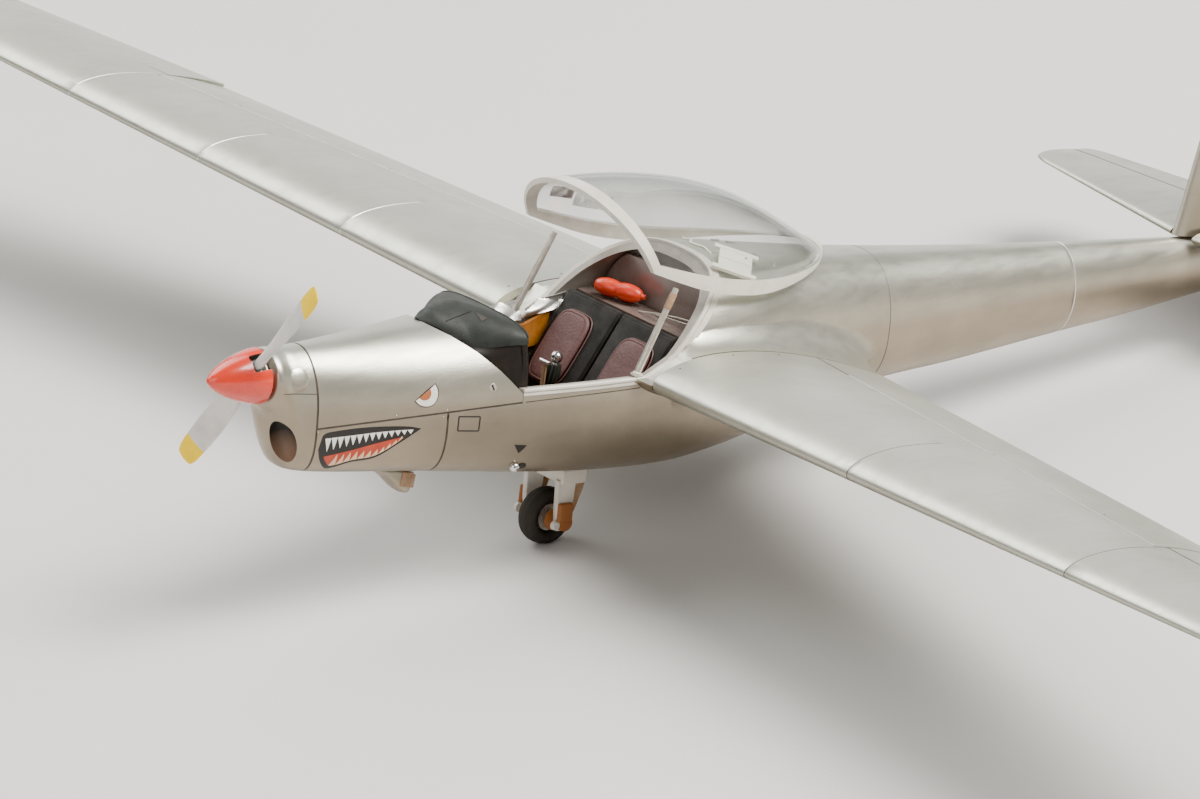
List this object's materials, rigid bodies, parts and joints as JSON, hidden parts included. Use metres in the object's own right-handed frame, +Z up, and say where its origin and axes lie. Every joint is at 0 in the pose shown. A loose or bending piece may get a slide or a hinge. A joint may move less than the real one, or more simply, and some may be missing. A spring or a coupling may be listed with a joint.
{
  "type": "scale model of a touring motor glider",
  "caption": "Scale model of a side-by-side touring motor glider with long low wings, raised canopy, central main wheel, tail wheel and outriggers.",
  "frame": {"origin": "on the ground, at the middle of the model's box", "axes": "+X to the model's port wing tip, +Y to its tail, +Z up"},
  "size_m": [0.3492, 0.1714, 0.0464],
  "materials": {
    "silver_paint": "silver metallic model paint, satin",
    "red_paint": "gloss red model paint",
    "white_paint": "semi-matt white model paint",
    "black_trim": "matt black model paint",
    "upholstery": "matt mauve brown paint over moulded cushions",
    "clear_plastic": "clear polystyrene",
    "tyre_rubber": "matt dark brown grey",
    "bright_metal": "bare metal wire and foil",
    "rust_brown": "matt rust brown paint",
    "wood_tan": "satin orange brown paint",
    "grey_paint": "matt grey paint"
  },
  "bodies": {
    "airframe": {"nose_bowl": "silver_paint", "upper_cowl": "silver_paint", "lower_cowl": "silver_paint", "exhaust_scoop": "silver_paint", "cockpit_shell": "silver_paint", "tail_boom": "silver_paint", "fin": "silver_paint", "rudder": "silver_paint", "tail_fork": "silver_paint", "canopy_frame": "silver_paint", "canopy_glass": "clear_plastic", "glareshield": "black_trim", "instrument_panel": "black_trim", "centre_console": "black_trim", "lever_knob": "bright_metal", "cockpit_floor": "grey_paint", "rear_bulkhead": "grey_paint", "parcel_shelf": "grey_paint", "red_bottle": "red_paint", "deck_plate": "white_paint", "main_fork": "white_paint", "wing_port": "silver_paint", "flap_port": "silver_paint", "aileron_port": "silver_paint", "wing_tip_port": "silver_paint", "tailplane_port": "silver_paint", "elevator_port": "silver_paint", "canopy_arm_port": "bright_metal", "seat_shell_port": "black_trim", "seat_cushion_port": "upholstery", "back_cushion_port": "upholstery", "control_stick_port": "black_trim", "side_trim_port": "wood_tan", "brake_port": "rust_brown", "outrigger_leg_port": "silver_paint", "wing_starboard": "silver_paint", "flap_starboard": "silver_paint", "aileron_starboard": "silver_paint", "wing_tip_starboard": "silver_paint", "tailplane_starboard": "silver_paint", "elevator_starboard": "silver_paint", "canopy_arm_starboard": "bright_metal", "seat_shell_starboard": "black_trim", "seat_cushion_starboard": "upholstery", "back_cushion_starboard": "upholstery", "control_stick_starboard": "black_trim", "side_trim_starboard": "wood_tan", "brake_starboard": "rust_brown", "outrigger_leg_starboard": "silver_paint"},
    "propeller": {"spinner": "red_paint", "propeller_blades": "white_paint", "spinner_backplate": "black_trim"},
    "main_wheel": {"main_tyre": "tyre_rubber", "main_hub": "bright_metal"},
    "tail_wheel": {"tail_tyre": "tyre_rubber", "tail_hub": "bright_metal"},
    "outrigger_wheel_port_body": {"outrigger_wheel_port": "tyre_rubber"},
    "outrigger_wheel_starboard_body": {"outrigger_wheel_starboard": "tyre_rubber"}
  },
  "joints": [
    {"name": "propeller_spin", "type": "hinge", "parent": "airframe", "child": "propeller", "pos_m": [0, -0.07996, 0.03132], "axis": [0, -0.9886, 0.1504], "continuous": true},
    {"name": "main_wheel_spin", "type": "hinge", "parent": "airframe", "child": "main_wheel", "pos_m": [0, -0.03838, 0.0034], "axis": [1, 0, 0], "continuous": true},
    {"name": "tail_wheel_spin", "type": "hinge", "parent": "airframe", "child": "tail_wheel", "pos_m": [0, 0.06964, 0.002], "axis": [1, 0, 0], "continuous": true},
    {"name": "outrigger_spin_port", "type": "hinge", "parent": "airframe", "child": "outrigger_wheel_port_body", "pos_m": [0.122, -0.03639, 0.0015], "axis": [1, 0, 0], "continuous": true},
    {"name": "outrigger_spin_starboard", "type": "hinge", "parent": "airframe", "child": "outrigger_wheel_starboard_body", "pos_m": [-0.122, -0.03639, 0.0015], "axis": [1, 0, 0], "continuous": true}
  ]
}
